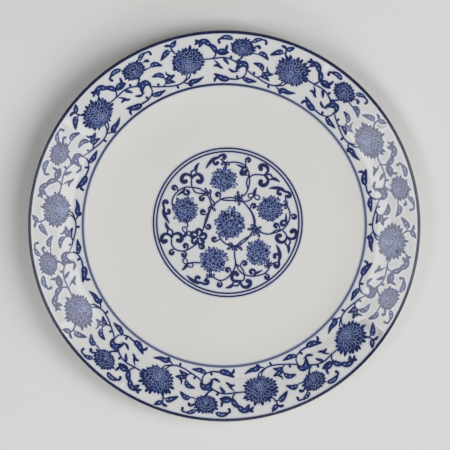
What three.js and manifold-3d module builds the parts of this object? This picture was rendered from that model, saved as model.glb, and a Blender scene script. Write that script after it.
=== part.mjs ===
// Blue-and-white porcelain dinner plate: a porcelain body on a foot ring, coats of clear glaze over it,
// and cobalt bands and transfer prints fired onto the face.
// Millimetres, +Z up. The origin is the centre of the foot ring's bearing face, on the table.
import * as THREE from "three";
import { mergeVertices } from "three/addons/utils/BufferGeometryUtils.js";
import Module from "manifold-3d";

const wasm = await Module();
wasm.setup();

// ---------------------------------------------------------------- driving dimensions
// The plate's finished outline, over the glaze.
const plateRadius = 133.5;
const rimWidth = 37; // from the verge, where the well's wall ends, out to the lip
const wallWidth = 12; // from where the floor and the wall would meet, out to the verge
const wallRise = 2.66;
const wallFootRound = 100; // radius of the long curve between the floor and the wall
const shoulderWidth = 8; // the flatter start of the rim, next to the verge
const shoulderRise = 0.9;
const shoulderRound = 6;
const rimRise = 8; // from the shoulder's end to the lip
const lipThickness = 3;
const lipRound = 1.25;
const rimThickness = 3.7;
const backRound = 9;
const floorThickness = 4.3;

// The foot ring.
const footHeight = 3.5; // depth of the recess inside the ring
const footInset = 18.5; // from the verge in to the ring's outer edge
const footWidth = 3.2; // the bearing face
const footFlare = 2.2; // how far the ring widens up to the body
const footShoulder = 1.1; // height of the back's wall above the recess, where it leaves the ring
const footRound = 0.5;
const footTopRound = 3;
const recessRound = 1.2;
const recessSlope = 1.6;
const bareFootHeight = 0.7; // the glaze is wiped off up to here

// The coats and prints.
const glazeThickness = 0.3;
const filmThickness = 0.25;
const filmClearance = 0.05; // a print's gap over the glaze
const lipBandWidth = 2.1; // on the face
const lipBandReturn = 1.4; // on the back
const vergeLineWidth = 1.6;
const medallionMargin = 22.3; // from the medallion's edge out to the end of the flat floor
const medallionLineWidth = 1.1;
const medallionWashWidth = 1.1;
const medallionPrintGap = 1.2; // inside the inner line
const medallionShift = [2.4, 2]; // the medallion was laid a little off centre

// The border print.
const borderRepeats = 10;
const borderStartDegrees = 23.6; // the first large flower, clockwise from +Y
const borderGap = 0.8; // clear of the verge line and of the lip band
const stemWidth = 0.9;

const facetsPerRepeat = 4; // facets round the plate, for each repeat of the border

// ---------------------------------------------------------------- the plate's outline
const vergeRadius = plateRadius - rimWidth;
const wallFootRadius = vergeRadius - wallWidth;
const shoulderRadius = vergeRadius + shoulderWidth;
const floorHeight = footHeight + floorThickness;
const vergeHeight = floorHeight + wallRise;
const shoulderHeight = vergeHeight + shoulderRise;
const plateHeight = shoulderHeight + rimRise;
const footOuterRadius = vergeRadius - footInset;
const footInnerRadius = footOuterRadius - footWidth;
const backBendRadius = vergeRadius + shoulderWidth / 2;

const wallAngle = Math.atan2(wallRise, wallWidth);
const shoulderAngle = Math.atan2(shoulderRise, shoulderWidth);
const vergeRound = vergeLineWidth / 2 / Math.tan((wallAngle - shoulderAngle) / 2);
const floorRadius = wallFootRadius - wallFootRound * Math.tan(wallAngle / 2);
const lipBandRadius = plateRadius - lipBandWidth;
const lipCornerRound = Math.min(lipRound, 0.42 * lipThickness); // both corners' arcs fit on the lip's edge
const turnSteps = facetsPerRepeat * borderRepeats;

// A point on the straight line from a to b, at a given radius or height.
const atRadius = (a, b, r) => ({ r, z: a.z + ((b.z - a.z) * (r - a.r)) / (b.r - a.r) });
const atHeight = (a, b, z) => ({ z, r: a.r + ((b.r - a.r) * (z - a.z)) / (b.z - a.z) });

const shoulderEnd = { r: shoulderRadius, z: shoulderHeight };
const lipTop = { r: plateRadius, z: plateHeight };
const lipUnder = { r: plateRadius, z: plateHeight - lipThickness };
const backBend = { r: backBendRadius, z: shoulderHeight - rimThickness };
const footTop = { r: footOuterRadius + footFlare, z: footHeight + footShoulder };
const footOuter = { r: footOuterRadius, z: 0 };
const footInner = { r: footInnerRadius, z: 0 };
const recessEdge = { r: footInnerRadius - recessSlope, z: footHeight };

// The turned outline's corners, from the middle of the face round to the middle of the recess.
// round is the corner's radius, steps its facets, and mark names a corner that a coat ends at.
const corners = [
  { r: 0, z: floorHeight, mark: "faceMiddle" },
  { r: wallFootRadius, z: floorHeight, round: wallFootRound, steps: 3 },
  { r: vergeRadius, z: vergeHeight, round: vergeRound, steps: 2, mark: "verge" },
  { ...shoulderEnd, round: shoulderRound, steps: 1 },
  { ...atRadius(shoulderEnd, lipTop, lipBandRadius), mark: "lipBandFace" },
  { ...lipTop, round: lipCornerRound, steps: 2 },
  { ...lipUnder, round: lipCornerRound, steps: 2 },
  { ...atRadius(lipUnder, backBend, plateRadius - lipBandReturn), mark: "lipBandBack" },
  { ...backBend, round: backRound, steps: 1 },
  { ...footTop, round: footTopRound, steps: 1 },
  { ...atHeight(footTop, footOuter, bareFootHeight), mark: "bareOuter" },
  { ...footOuter, round: footRound, steps: 1 },
  { ...footInner, round: footRound, steps: 1 },
  { ...atHeight(footInner, recessEdge, bareFootHeight), mark: "bareInner" },
  { ...recessEdge, round: recessRound, steps: 1 },
  { r: 0, z: footHeight, mark: "recessMiddle" },
];

// Rounds each corner with an arc. Gives the outline's points, and the first and last point of each mark.
function roundedOutline(list) {
  const points = [];
  const marks = {};
  list.forEach((corner, i) => {
    const at = new THREE.Vector2(corner.r, corner.z);
    const first = points.length;
    if (corner.round) {
      const before = new THREE.Vector2(list[i - 1].r, list[i - 1].z).sub(at).normalize();
      const after = new THREE.Vector2(list[i + 1].r, list[i + 1].z).sub(at).normalize();
      const halfOpening = Math.acos(THREE.MathUtils.clamp(before.dot(after), -1, 1)) / 2;
      const middle = before.clone().add(after).normalize();
      const centre = at.clone().addScaledVector(middle, corner.round / Math.sin(halfOpening));
      const start = at.clone().addScaledVector(before, corner.round / Math.tan(halfOpening)).sub(centre);
      const turn = Math.PI - 2 * halfOpening;
      const side = Math.sign(before.x * after.y - before.y * after.x);
      for (let k = 0; k <= corner.steps; k++) {
        const spoke = start.clone().rotateAround(new THREE.Vector2(), (-side * turn * k) / corner.steps);
        points.push(centre.clone().add(spoke));
      }
    } else {
      points.push(at);
    }
    if (corner.mark) marks[corner.mark] = [first, points.length - 1];
  });
  return { points, marks };
}

// Moves an outline inwards, to the right of its travel, by distance.
function insetOutline(points, distance) {
  const normals = points.slice(1).map((p, i) => {
    const along = p.clone().sub(points[i]).normalize();
    return new THREE.Vector2(along.y, -along.x);
  });
  return points.map((p, i) => {
    const a = normals[Math.max(i - 1, 0)];
    const b = normals[Math.min(i, normals.length - 1)];
    const middle = a.clone().add(b).normalize();
    return p.clone().addScaledVector(middle, distance / middle.dot(a));
  });
}

const { points: skin, marks } = roundedOutline(corners);
const core = insetOutline(skin, glazeThickness);

// ---------------------------------------------------------------- solids
// Turns an outline about Z. It starts and ends on the axis, or closes on itself.
function turned(loop) {
  const area = loop.reduce((sum, p, i) => sum + p.cross(loop[(i + 1) % loop.length]), 0);
  const outline = area > 0 ? [...loop] : [...loop].reverse();
  const onAxis = outline.filter((p) => Math.abs(p.x) < 1e-9).length;
  if (onAxis === 2) {
    while (Math.abs(outline[0].x) > 1e-9 || Math.abs(outline.at(-1).x) > 1e-9) outline.push(outline.shift());
  } else {
    outline.push(outline[0].clone());
  }
  return new THREE.LatheGeometry(outline, turnSteps).rotateX(Math.PI / 2);
}

// A coat between the finished skin and the core, from one mark to another.
function coat(from, to) {
  const [start, end] = [marks[from].at(-1), marks[to][0]];
  return turned([...skin.slice(start, end + 1), ...core.slice(start, end + 1).reverse()]);
}

// The body fills the core, and comes out to the skin where the foot is bare.
function bodyGeometry() {
  const [bareStart, bareEnd] = [marks.bareOuter[0], marks.bareInner[0]];
  return turned([...core.slice(0, bareStart + 1), ...skin.slice(bareStart, bareEnd + 1), ...core.slice(bareEnd)]);
}

// A film over a stretch of the skin.
function paintedFilm(start, end) {
  const under = insetOutline(skin, -filmClearance).slice(start, end + 1);
  const over = insetOutline(skin, -filmClearance - filmThickness).slice(start, end + 1);
  return turned([...under, ...over.reverse()]);
}

// A flat ring on the well's floor.
function floorRing(inner, outer) {
  const bottom = floorHeight + filmClearance;
  const top = bottom + filmThickness;
  return turned([
    new THREE.Vector2(inner, bottom),
    new THREE.Vector2(outer, bottom),
    new THREE.Vector2(outer, top),
    new THREE.Vector2(inner, top),
  ]);
}

// ---------------------------------------------------------------- flat shapes for the prints
function solidOf(geometry) {
  geometry.deleteAttribute("normal");
  geometry.deleteAttribute("uv");
  const merged = mergeVertices(geometry, 1e-4);
  return new wasm.Manifold(
    new wasm.Mesh({
      numProp: 3,
      vertProperties: merged.attributes.position.array,
      triVerts: new Uint32Array(merged.index.array),
    }),
  );
}

function geometryOf(solid) {
  const mesh = solid.getMesh();
  return new THREE.BufferGeometry()
    .setAttribute("position", new THREE.BufferAttribute(new Float32Array(mesh.vertProperties), 3))
    .setIndex(new THREE.BufferAttribute(new Uint32Array(mesh.triVerts), 1));
}

// Joins overlapping outlines into one upright solid of the given depth.
function joinedSlab(outlines, depth) {
  const slabs = outlines.map((outline) =>
    solidOf(new THREE.ExtrudeGeometry(new THREE.Shape(outline), { depth, bevelEnabled: false })),
  );
  return slabs.reduce((all, one) => all.add(one));
}

const point = ([x, y]) => new THREE.Vector2(x, y);

// A flower head: an ellipse with flat-sided petals round it.
function flower(centre, halfWidth, halfHeight, petals) {
  return Array.from({ length: petals }, (_, k) => {
    const angle = (2 * Math.PI * k) / petals;
    return point([centre[0] + halfWidth * Math.cos(angle), centre[1] + halfHeight * Math.sin(angle)]);
  });
}

// A leaf: a pointed oval from its base to its tip.
function leaf(base, tip, width) {
  const [a, b] = [point(base), point(tip)];
  const along = b.clone().sub(a);
  const side = new THREE.Vector2(-along.y, along.x).normalize();
  const place = (share, half) => a.clone().addScaledVector(along, share).addScaledVector(side, half * width);
  return [a, place(0.35, -0.5), place(0.7, -0.36), b, place(0.7, 0.36), place(0.35, 0.5)];
}

// A stem of even width along a smooth curve.
function stem(points, width, steps) {
  const curve = new THREE.SplineCurve(points.map(point));
  const [left, right] = [[], []];
  for (let k = 0; k <= steps; k++) {
    const at = curve.getPoint(k / steps);
    const along = curve.getTangent(k / steps);
    const side = new THREE.Vector2(-along.y, along.x).multiplyScalar(width / 2);
    left.push(at.clone().add(side));
    right.push(at.clone().sub(side));
  }
  return [...right, ...left.reverse()];
}

// ---------------------------------------------------------------- the border print
// One repeat is drawn flat, in shares of its own length (u, clockwise) and of the band's width (v, outwards).
// It is then bent round the rim and cut from a film that lies over the glaze.
const bandInner = vergeRadius + vergeLineWidth / 2 + borderGap;
const bandOuter = lipBandRadius - borderGap;
const bandWidth = bandOuter - bandInner;
const bandMiddle = (bandInner + bandOuter) / 2;
const repeatLength = (2 * Math.PI * bandMiddle) / borderRepeats;
const flat = ([u, v]) => [u * repeatLength, v * bandWidth];
const flatLeaf = (base, tip, width) => leaf(flat(base), flat(tip), width * bandWidth);
const flatStem = (points, steps) => stem(points.map(flat), stemWidth, steps);

function borderOutlines() {
  return [
    flower(flat([0, 0.51]), 0.158 * repeatLength, 0.262 * bandWidth, 14),
    flower(flat([0.505, 0.735]), 0.106 * repeatLength, 0.175 * bandWidth, 10),
    flatStem([[0.13, 0.51], [0.24, 0.51], [0.36, 0.5], [0.46, 0.42], [0.57, 0.31], [0.7, 0.19], [0.83, 0.1]], 6),
    flatStem([[0.455, 0.42], [0.48, 0.5], [0.5, 0.6]], 2),
    flatStem([[0.562, 0.33], [0.553, 0.22], [0.53, 0.1]], 2),
    flatStem([[0.69, 0.19], [0.727, 0.25], [0.732, 0.34]], 2),
    flatStem([[0.24, 0.5], [0.262, 0.56], [0.26, 0.64]], 2),
    flatLeaf([0.27, 0.6], [0.1, 0.87], 0.15),
    flatLeaf([0.255, 0.6], [0.385, 0.64], 0.12),
    flatLeaf([0.58, 0.33], [0.44, 0.28], 0.17),
    flatLeaf([0.6, 0.68], [0.745, 0.58], 0.11),
    flatLeaf([0.465, 0.79], [0.3, 0.91], 0.11),
    flatLeaf([0.545, 0.79], [0.68, 0.97], 0.1),
    flatLeaf([-0.09, 0.72], [-0.235, 0.69], 0.1),
    flatLeaf([0.545, 0.12], [0.24, 0.16], 0.12),
    flatLeaf([0.737, 0.33], [0.63, 0.45], 0.09),
    flatLeaf([0.72, 0.3], [0.835, 0.33], 0.09),
    flatLeaf([0.82, 0.09], [1.12, 0.14], 0.12),
  ];
}

// Bends flat outlines round the rim, with the band's inner edge along x and clockwise towards +x.
function bentRoundRim(outline) {
  const start = THREE.MathUtils.degToRad(90 - borderStartDegrees);
  return outline.map(({ x, y }) => {
    const [angle, radius] = [start - x / bandMiddle, bandInner + y];
    return new THREE.Vector2(radius * Math.cos(angle), radius * Math.sin(angle));
  });
}

function borderPrint() {
  const rimFilm = paintedFilm(marks.verge[1], marks.lipBandFace[0]);
  return geometryOf(joinedSlab(borderOutlines().map(bentRoundRim), plateHeight).intersect(solidOf(rimFilm)));
}

// ---------------------------------------------------------------- the medallion
const medallionRadius = floorRadius - medallionMargin;
const medallionInnerLine = medallionRadius - medallionLineWidth - medallionWashWidth;
const printRadius = medallionInnerLine - medallionLineWidth - medallionPrintGap;

// A ring of stem round the middle flower, five flowers beyond it, and a three-leaved spray between each two.
function medallionPrint() {
  const at = (degrees, share) => {
    const angle = THREE.MathUtils.degToRad(degrees);
    return [share * printRadius * Math.cos(angle), share * printRadius * Math.sin(angle)];
  };
  const span = (degrees, start, end) => stem([at(degrees, start), at(degrees, end)], stemWidth, 1);
  const ringPoints = Array.from({ length: 12 }, (_, k) => at(30 * k, 0.35));
  const outlines = [
    flower([0, 0], 0.23 * printRadius, 0.23 * printRadius, 14),
    stem([...ringPoints, ringPoints[0]], stemWidth, 20),
    span(210, 0.15, 0.36),
  ];
  for (const degrees of [98, 164, 248, 316, 18]) {
    outlines.push(flower(at(degrees, 0.62), 0.19 * printRadius, 0.19 * printRadius, 10));
    outlines.push(span(degrees, 0.34, 0.5));
  }
  for (const degrees of [127, 192, 282, 346, 52]) {
    outlines.push(span(degrees, 0.34, 0.82));
    outlines.push(leaf(at(degrees, 0.78), at(degrees, 0.99), 0.09 * printRadius));
    outlines.push(leaf(at(degrees, 0.76), at(degrees + 11, 0.88), 0.09 * printRadius));
    outlines.push(leaf(at(degrees, 0.76), at(degrees - 11, 0.88), 0.09 * printRadius));
  }
  return geometryOf(joinedSlab(outlines, filmThickness));
}

// ---------------------------------------------------------------- materials
const finish = (color, roughness) => new THREE.MeshStandardMaterial({ color, roughness, metalness: 0 });
const barePorcelain = finish(0xe6e0d4, 0.7);
const clearGlaze = finish(0xe9e8e3, 0.12);
const cobalt = finish(0x26315f, 0.15);
const paleWash = finish(0xa9b4dc, 0.15);

// ---------------------------------------------------------------- the plate
const plate = new THREE.Group();

function addPiece(name, geometry, material, position = [0, 0, 0]) {
  const mesh = new THREE.Mesh(geometry, material);
  mesh.name = name;
  mesh.position.set(...position);
  plate.add(mesh);
  return mesh;
}

addPiece("porcelain_body", bodyGeometry(), barePorcelain);
addPiece("face_glaze", coat("faceMiddle", "lipBandFace"), clearGlaze);
addPiece("lip_band", coat("lipBandFace", "lipBandBack"), cobalt);
addPiece("back_glaze", coat("lipBandBack", "bareOuter"), clearGlaze);
addPiece("foot_recess_glaze", coat("bareInner", "recessMiddle"), clearGlaze);
addPiece("verge_line", paintedFilm(...marks.verge), cobalt);

const oneRepeat = borderPrint();
for (let k = 0; k < borderRepeats; k++) {
  const name = `border_print_${String(k + 1).padStart(2, "0")}`;
  const print = addPiece(name, oneRepeat, cobalt);
  print.rotation.z = (-2 * Math.PI * k) / borderRepeats;
}

const onMedallion = [...medallionShift, 0];
const washOuter = medallionRadius - medallionLineWidth;
addPiece("medallion_outer_line", floorRing(washOuter, medallionRadius), cobalt, onMedallion);
addPiece("medallion_wash", floorRing(medallionInnerLine, washOuter), paleWash, onMedallion);
addPiece(
  "medallion_inner_line",
  floorRing(medallionInnerLine - medallionLineWidth, medallionInnerLine),
  cobalt,
  onMedallion,
);
const printHeight = floorHeight + filmClearance;
addPiece("medallion_print", medallionPrint(), cobalt, [...medallionShift, printHeight]);

export default plate;
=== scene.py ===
import bisect
import math
import random

import bpy
from mathutils import Matrix, Vector


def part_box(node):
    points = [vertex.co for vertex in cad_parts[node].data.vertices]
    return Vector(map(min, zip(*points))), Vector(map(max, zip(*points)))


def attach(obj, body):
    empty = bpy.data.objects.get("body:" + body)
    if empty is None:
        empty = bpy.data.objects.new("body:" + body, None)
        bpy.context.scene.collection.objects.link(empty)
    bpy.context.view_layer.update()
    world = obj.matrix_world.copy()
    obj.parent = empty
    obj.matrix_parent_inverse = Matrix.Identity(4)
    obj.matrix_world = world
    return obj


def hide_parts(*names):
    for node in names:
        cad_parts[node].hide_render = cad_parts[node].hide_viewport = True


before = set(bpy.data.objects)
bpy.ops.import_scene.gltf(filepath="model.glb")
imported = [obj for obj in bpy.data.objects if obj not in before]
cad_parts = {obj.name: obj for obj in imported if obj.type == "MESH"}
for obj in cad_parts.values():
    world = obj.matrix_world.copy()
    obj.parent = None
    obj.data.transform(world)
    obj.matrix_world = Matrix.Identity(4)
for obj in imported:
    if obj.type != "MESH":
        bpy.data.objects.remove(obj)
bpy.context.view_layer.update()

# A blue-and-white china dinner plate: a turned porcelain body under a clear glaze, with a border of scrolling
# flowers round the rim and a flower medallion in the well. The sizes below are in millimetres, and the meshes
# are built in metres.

MM = 0.001


def centre_of(node):
    low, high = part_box(node)
    return (low + high) / 2 / MM


def half_width_of(node):
    low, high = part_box(node)
    return (high.x - low.x) / 2 / MM


# ---------------------------------------- the plate's outline
PLATE_RADIUS = half_width_of("lip_band")
GLAZE = 0.3
RIM_WIDTH = 37
WALL_WIDTH = 12
WALL_RISE = 2.66
SHOULDER_WIDTH = 8
SHOULDER_RISE = 0.9
RIM_RISE = 8
LIP_THICKNESS = 3
RIM_THICKNESS = 3.7
FLOOR_THICKNESS = 4.3
FOOT_HEIGHT = 3.5
FOOT_INSET = 18.5
FOOT_WIDTH = 3.2
FOOT_FLARE = 2.2
FOOT_SHOULDER = 1.1
RECESS_SLOPE = 1.6
BARE_FOOT = 0.7
LIP_BAND = 2.1
LIP_BAND_BACK = 1.4
VERGE_LINE = 1.6
WALL_FOOT_ROUND = 100
SHOULDER_ROUND = 6
LIP_ROUND = 1.25
BACK_ROUND = 9
FOOT_ROUND = 0.5
FOOT_TOP_ROUND = 3
RECESS_ROUND = 1.2

VERGE_RADIUS = PLATE_RADIUS - RIM_WIDTH
FLOOR_Z = FOOT_HEIGHT + FLOOR_THICKNESS
VERGE_Z = FLOOR_Z + WALL_RISE
SHOULDER_Z = VERGE_Z + SHOULDER_RISE
LIP_Z = SHOULDER_Z + RIM_RISE
FOOT_OUTER = VERGE_RADIUS - FOOT_INSET
FOOT_INNER = FOOT_OUTER - FOOT_WIDTH

WALL_ANGLE = math.atan2(WALL_RISE, WALL_WIDTH)
SHOULDER_ANGLE = math.atan2(SHOULDER_RISE, SHOULDER_WIDTH)
VERGE_ROUND = VERGE_LINE / 2 / math.tan((WALL_ANGLE - SHOULDER_ANGLE) / 2)
ARC_STEP = math.radians(2.5)


def at_radius(a, b, r):
    """The place on the line from a to b at a radius."""
    return r, a[1] + (b[1] - a[1]) * (r - a[0]) / (b[0] - a[0])


def at_height(a, b, z):
    """The place on the line from a to b at a height."""
    return a[0] + (b[0] - a[0]) * (z - a[1]) / (b[1] - a[1]), z


SHOULDER_END = (VERGE_RADIUS + SHOULDER_WIDTH, SHOULDER_Z)
LIP_TOP = (PLATE_RADIUS, LIP_Z)
LIP_UNDER = (PLATE_RADIUS, LIP_Z - LIP_THICKNESS)
BACK_BEND = (VERGE_RADIUS + SHOULDER_WIDTH / 2, SHOULDER_Z - RIM_THICKNESS)
FOOT_TOP = (FOOT_OUTER + FOOT_FLARE, FOOT_HEIGHT + FOOT_SHOULDER)
RECESS_EDGE = (FOOT_INNER - RECESS_SLOPE, FOOT_HEIGHT)

# The corners from the middle of the face round to the middle of the recess. Each is its place, the radius of
# its round, and a name if a coat ends at it.
CORNERS = [
    ((0, FLOOR_Z), 0, "face_middle"),
    ((VERGE_RADIUS - WALL_WIDTH, FLOOR_Z), WALL_FOOT_ROUND, None),
    ((VERGE_RADIUS, VERGE_Z), VERGE_ROUND, "verge"),
    (SHOULDER_END, SHOULDER_ROUND, None),
    (at_radius(SHOULDER_END, LIP_TOP, PLATE_RADIUS - LIP_BAND), 0, "lip_band_face"),
    (LIP_TOP, LIP_ROUND, "lip"),
    (LIP_UNDER, LIP_ROUND, None),
    (at_radius(LIP_UNDER, BACK_BEND, PLATE_RADIUS - LIP_BAND_BACK), 0, "lip_band_back"),
    (BACK_BEND, BACK_ROUND, None),
    (FOOT_TOP, FOOT_TOP_ROUND, None),
    (at_height(FOOT_TOP, (FOOT_OUTER, 0), BARE_FOOT), 0, "bare_outer"),
    ((FOOT_OUTER, 0), FOOT_ROUND, None),
    ((FOOT_INNER, 0), FOOT_ROUND, None),
    (at_height((FOOT_INNER, 0), RECESS_EDGE, BARE_FOOT), 0, "bare_inner"),
    (RECESS_EDGE, RECESS_ROUND, None),
    ((0, FOOT_HEIGHT), 0, "recess_middle"),
]


def rounded_outline(corners):
    """Rounds each corner with an arc. Gives the points, and the first and last point of each named corner."""
    points, marks = [], {}
    for i, (corner, radius, mark) in enumerate(corners):
        at = Vector(corner)
        first = len(points)
        if radius:
            before = (Vector(corners[i - 1][0]) - at).normalized()
            after = (Vector(corners[i + 1][0]) - at).normalized()
            half_opening = before.angle(after) / 2
            centre = at + (before + after).normalized() * (radius / math.sin(half_opening))
            spoke = at + before * (radius / math.tan(half_opening)) - centre
            turn = math.pi - 2 * half_opening
            side = math.copysign(1, before.x * after.y - before.y * after.x)
            steps = max(2, math.ceil(turn / ARC_STEP))
            for k in range(steps + 1):
                points.append(centre + Matrix.Rotation(-side * turn * k / steps, 2) @ spoke)
        else:
            points.append(at)
        if mark:
            marks[mark] = (first, len(points) - 1)
    return points, marks


def inset_outline(points, distance):
    """Moves an outline to the right of its travel, which is into the plate."""
    normals = []
    for a, b in zip(points, points[1:]):
        along = (b - a).normalized()
        normals.append(Vector((along.y, -along.x)))
    moved = []
    for i, point in enumerate(points):
        a, b = normals[max(i - 1, 0)], normals[min(i, len(normals) - 1)]
        middle = (a + b).normalized()
        moved.append(point + middle * (distance / middle.dot(a)))
    return moved


# The glazed outline, the outline of the porcelain under the glaze, and the part of the face inside the lip.
SKIN, MARKS = rounded_outline(CORNERS)
CORE = inset_outline(SKIN, GLAZE)
FACE = SKIN[: MARKS["lip"][0] + 1]
FACE_RADII = [point.x for point in FACE]


def face_at(radius):
    """The height of the face at a radius, and its slope."""
    i = min(max(bisect.bisect_right(FACE_RADII, radius), 1), len(FACE) - 1)
    a, b = FACE[i - 1], FACE[i]
    slope = (b.y - a.y) / (b.x - a.x)
    return a.y + slope * (radius - a.x), slope


# ---------------------------------------- materials
GLAZE_ROUGHNESS = 0.07
GLAZE_IOR = 1.5
RIPPLE_SCALE = 260
RIPPLE_DEPTH = 0.000012
GRAIN_SCALE = 2600
GRAIN_DEPTH = 0.00006
# The heading, in degrees from +X, where the verge line is darkest; round from it the line has a painted
# highlight.
VERGE_DARKEST_HEADING = 108


def new_material(name):
    material = bpy.data.materials.new(name)
    material.use_nodes = True
    return material, material.node_tree.nodes, material.node_tree.links


def ramp_between(nodes, links, factor, stops):
    """The colour at a factor among stops, each of them a position and a colour."""
    ramp = nodes.new("ShaderNodeValToRGB")
    ramp.color_ramp.elements[0].position = stops[0][0]
    ramp.color_ramp.elements[0].color = (*stops[0][1], 1)
    ramp.color_ramp.elements[1].position = stops[-1][0]
    ramp.color_ramp.elements[1].color = (*stops[-1][1], 1)
    for position, colour in stops[1:-1]:
        ramp.color_ramp.elements.new(position).color = (*colour, 1)
    links.new(factor, ramp.inputs["Fac"])
    return ramp.outputs["Color"]


def noise(nodes, links, scale, detail=3.0, roughness=0.5):
    """Noise fixed to the object. The scale is in waves per metre."""
    place = nodes.new("ShaderNodeTexCoord")
    texture = nodes.new("ShaderNodeTexNoise")
    texture.inputs["Scale"].default_value = scale
    texture.inputs["Detail"].default_value = detail
    texture.inputs["Roughness"].default_value = roughness
    links.new(place.outputs["Object"], texture.inputs["Vector"])
    return texture.outputs["Fac"]


def bump(nodes, links, height, distance, shader):
    """Roughens a shader's surface. The distance is in metres."""
    node = nodes.new("ShaderNodeBump")
    node.inputs["Strength"].default_value = 1.0
    node.inputs["Distance"].default_value = distance
    links.new(height, node.inputs["Height"])
    links.new(node.outputs["Normal"], shader.inputs["Normal"])


def glaze_over(nodes, links, colour):
    """The clear glaze over a colour. Its surface has a very slight ripple."""
    shader = nodes["Principled BSDF"]
    shader.inputs["Roughness"].default_value = GLAZE_ROUGHNESS
    shader.inputs["IOR"].default_value = GLAZE_IOR
    links.new(colour, shader.inputs["Base Color"])
    bump(nodes, links, noise(nodes, links, RIPPLE_SCALE, 1.0), RIPPLE_DEPTH, shader)


def glazed(name, stops, scale, detail=3.0):
    """A mottled colour under the clear glaze."""
    material, nodes, links = new_material(name)
    glaze_over(nodes, links, ramp_between(nodes, links, noise(nodes, links, scale, detail), stops))
    return material


# Its first two colours are painted highlight, and the last is the line's own dark navy.
def line_with_painted_highlight(name, painted_highlight, later, first):
    """A painted line under the clear glaze, darkest at one heading and painted lighter away from it: a
    painted highlight that stands in for the lamps' reflection on the verge."""
    material, nodes, links = new_material(name)
    where = nodes.new("ShaderNodeTexCoord")
    along = nodes.new("ShaderNodeVectorMath")
    along.operation = "DOT_PRODUCT"
    darkest_angle = math.radians(VERGE_DARKEST_HEADING)
    along.inputs[1].default_value = (math.cos(darkest_angle), math.sin(darkest_angle), 0)
    links.new(where.outputs["Object"], along.inputs[0])
    span = nodes.new("ShaderNodeMapRange")
    span.inputs["From Min"].default_value = -VERGE_RADIUS * MM
    span.inputs["From Max"].default_value = VERGE_RADIUS * MM
    links.new(along.outputs["Value"], span.inputs["Value"])
    # The two lighter stops are painted highlight over the line's own dark navy.
    stops = [(0.0, painted_highlight), (0.78, later), (1.0, first)]
    glaze_over(nodes, links, ramp_between(nodes, links, span.outputs["Result"], stops))
    return material


def bare_porcelain():
    material, nodes, links = new_material("bare_porcelain")
    shader = nodes["Principled BSDF"]
    shader.inputs["Roughness"].default_value = 0.75
    grain = noise(nodes, links, GRAIN_SCALE, 4.0, 0.6)
    stops = [(0.3, (0.56, 0.52, 0.45)), (0.5, (0.7, 0.66, 0.58)), (0.75, (0.74, 0.71, 0.64))]
    links.new(ramp_between(nodes, links, grain, stops), shader.inputs["Base Color"])
    bump(nodes, links, grain, GRAIN_DEPTH, shader)
    return material


def floor_material():
    material, nodes, links = new_material("floor")
    shader = nodes["Principled BSDF"]
    shader.inputs["Roughness"].default_value = 0.85
    shader.inputs["Specular IOR Level"].default_value = 0.2
    stops = [(0.3, (0.78, 0.775, 0.76)), (0.7, (0.81, 0.805, 0.79))]
    links.new(ramp_between(nodes, links, noise(nodes, links, 9, 2.0), stops), shader.inputs["Base Color"])
    return material


# Each colour's stops are its darkest and its lightest patches, and its mottling is in waves per metre.
WHITE = glazed("white_glaze", [(0.35, (0.738, 0.728, 0.695)), (0.65, (0.756, 0.746, 0.712))], 28)
NAVY = glazed("navy_line", [(0.3, (0.01, 0.012, 0.04)), (0.7, (0.028, 0.033, 0.09))], 420)
INK = glazed("navy_print", [(0.3, (0.012, 0.017, 0.065)), (0.7, (0.032, 0.044, 0.14))], 600)
DARK = glazed("dark_cobalt", [(0.3, (0.007, 0.013, 0.06)), (0.7, (0.024, 0.038, 0.135))], 700)
BLUE = glazed("blue_cobalt", [(0.3, (0.02, 0.036, 0.15)), (0.7, (0.05, 0.08, 0.26))], 700)
MID = glazed("mid_cobalt", [(0.3, (0.07, 0.1, 0.28)), (0.7, (0.14, 0.18, 0.42))], 700)
PALE = glazed("pale_cobalt", [(0.3, (0.25, 0.32, 0.56)), (0.7, (0.42, 0.48, 0.7))], 600)
BLEED = glazed("cobalt_bleed", [(0.3, (0.52, 0.56, 0.7)), (0.7, (0.6, 0.63, 0.72))], 300)
HAZE = glazed("cobalt_haze", [(0.3, (0.61, 0.63, 0.7)), (0.7, (0.65, 0.665, 0.71))], 300)
GROUND = glazed("cobalt_ground", [(0.3, (0.7, 0.695, 0.69)), (0.7, (0.716, 0.711, 0.698))], 100)
# The verge line: dark navy, painted lighter away from its darkest heading as a painted highlight.
VERGE = line_with_painted_highlight("verge_navy", (0.125, 0.14, 0.22), (0.115, 0.128, 0.205), (0.026, 0.029, 0.075))
WASH = glazed("cobalt_wash", [(0.3, (0.47, 0.49, 0.66)), (0.7, (0.56, 0.57, 0.7))], 200)
BISCUIT = bare_porcelain()
# The colours of a print, and the number of each of them in this list.
PRINT_COLOURS = [DARK, BLUE, MID, PALE, INK, BLEED, HAZE, GROUND]
DARK_INK, BLUE_INK, MID_INK, PALE_INK, NAVY_INK, BLEED_INK, HAZE_INK, GROUND_INK = range(8)


# ---------------------------------------- turned pieces
TURN_STEPS = 240
ON_AXIS = 1e-9
SHARP_ANGLE = math.radians(30)
# How high a painted line stands over the glaze, and how thick it is.
PAINT_LIFT = 0.08
PAINT_DEPTH = 0.12


def add_mesh(name, verts, faces, materials, indices=None):
    """A smooth mesh from places in millimetres. The indices give each face's material."""
    mesh = bpy.data.meshes.new(name)
    mesh.from_pydata([(x * MM, y * MM, z * MM) for x, y, z in verts], [], faces)
    for material in materials:
        mesh.materials.append(material)
    if indices:
        mesh.polygons.foreach_set("material_index", indices)
    mesh.polygons.foreach_set("use_smooth", [True] * len(mesh.polygons))
    mesh.validate()
    mesh.update()
    piece = bpy.data.objects.new(name, mesh)
    bpy.context.scene.collection.objects.link(piece)
    return piece


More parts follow.
